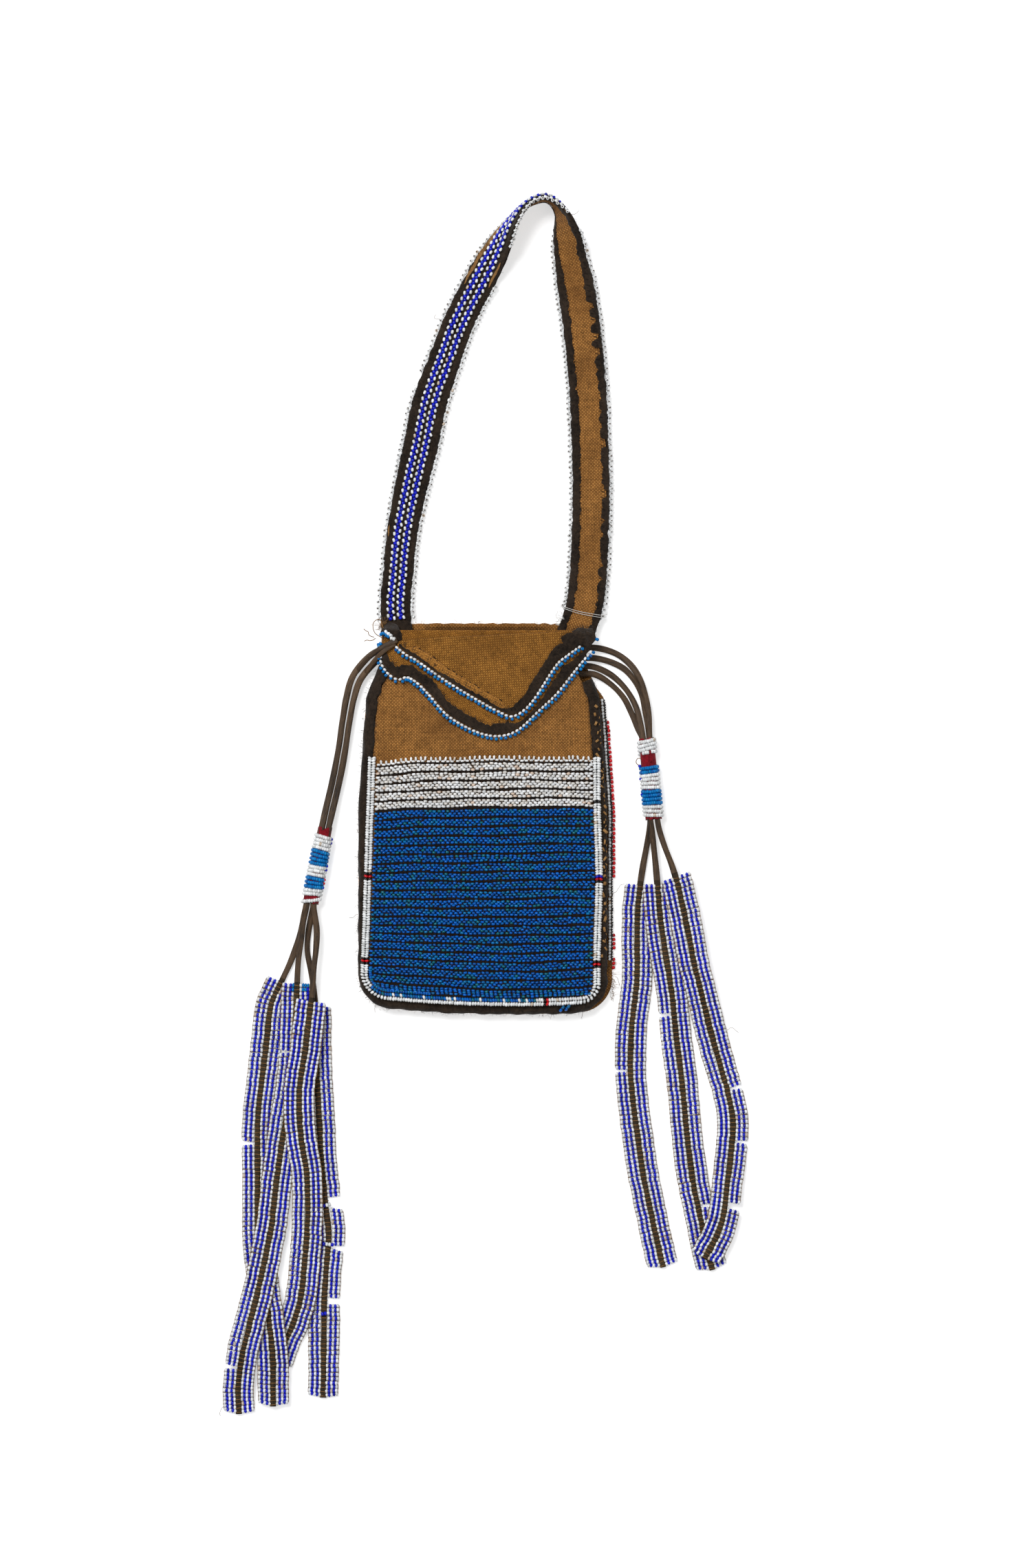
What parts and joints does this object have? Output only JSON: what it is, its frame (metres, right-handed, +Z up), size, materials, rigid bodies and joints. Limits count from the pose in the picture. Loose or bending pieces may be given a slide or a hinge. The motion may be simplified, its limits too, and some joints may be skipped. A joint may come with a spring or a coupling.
{
  "type": "tobacco bag",
  "caption": "Flat cloth pouch with a beaded front and folded flaps, a beaded shoulder strap, and leather thongs that pass through beaded sleeves into flat beaded strips",
  "frame": {"origin": "middle of the back panel's resting face, on the table, half way between the mouth and the foot of the pouch", "axes": "+Z up from the table through the beaded front, +Y from the foot of the pouch to its mouth and the strap, +X to the right as the front is seen"},
  "size_m": [0.239, 0.5556, 0.0178],
  "materials": {
    "brown_cloth": "coarse ochre-brown plain-weave cotton",
    "golden_cloth": "golden-brown plain-weave cotton, cut on the bias",
    "black_wool": "worn black wool cloth",
    "red_wool": "dark red wool cloth",
    "leather": "dry dark brown leather",
    "white_beads": "glossy opaque white glass seed beads",
    "blue_beads": "glossy azure glass seed beads",
    "cobalt_beads": "glossy cobalt glass seed beads with white ones between",
    "red_beads": "glossy red glass seed beads"
  },
  "bodies": {
    "root": {"back_panel": "brown_cloth", "side_gusset": "black_wool", "front_panel": "brown_cloth", "white_picot_row": "white_beads", "white_bead_panel": "white_beads", "blue_bead_panel": "blue_beads", "bead_border": "white_beads", "under_flap": "brown_cloth", "under_flap_border": "black_wool", "under_flap_bead_edge": "white_beads", "top_flap": "golden_cloth", "top_flap_border": "black_wool", "top_flap_bead_edge": "white_beads", "back_edge_bead_line": "white_beads", "red_bead_line_upper": "red_beads", "red_bead_line_lower": "red_beads", "strap_facing": "black_wool", "strap_lining": "brown_cloth", "strap_bead_line_left": "cobalt_beads", "strap_bead_line_right": "cobalt_beads", "strap_bead_edge_left": "white_beads", "strap_bead_edge_right": "white_beads", "left_thong_1": "leather", "left_strip_1_left_band": "cobalt_beads", "left_strip_1_right_band": "cobalt_beads", "left_thong_2": "leather", "left_strip_2_left_band": "cobalt_beads", "left_strip_2_right_band": "cobalt_beads", "left_thong_3": "leather", "left_strip_3_left_band": "cobalt_beads", "left_strip_3_right_band": "cobalt_beads", "left_thong_4": "leather", "left_strip_4_left_band": "cobalt_beads", "left_strip_4_right_band": "cobalt_beads", "right_thong_1": "leather", "right_strip_1_left_band": "cobalt_beads", "right_strip_1_right_band": "cobalt_beads", "right_thong_2": "leather", "right_thong_3": "leather", "right_strip_3_left_band": "cobalt_beads", "right_strip_3_right_band": "cobalt_beads", "right_thong_4": "leather", "right_strip_4_left_band": "cobalt_beads", "right_strip_4_right_band": "cobalt_beads", "left_sleeve_wool": "red_wool", "left_sleeve_beads": "white_beads", "left_sleeve_foot_row": "white_beads", "right_sleeve_wool": "red_wool", "right_sleeve_upper_beads": "white_beads", "right_sleeve_lower_beads": "white_beads"}
  },
  "joints": []
}
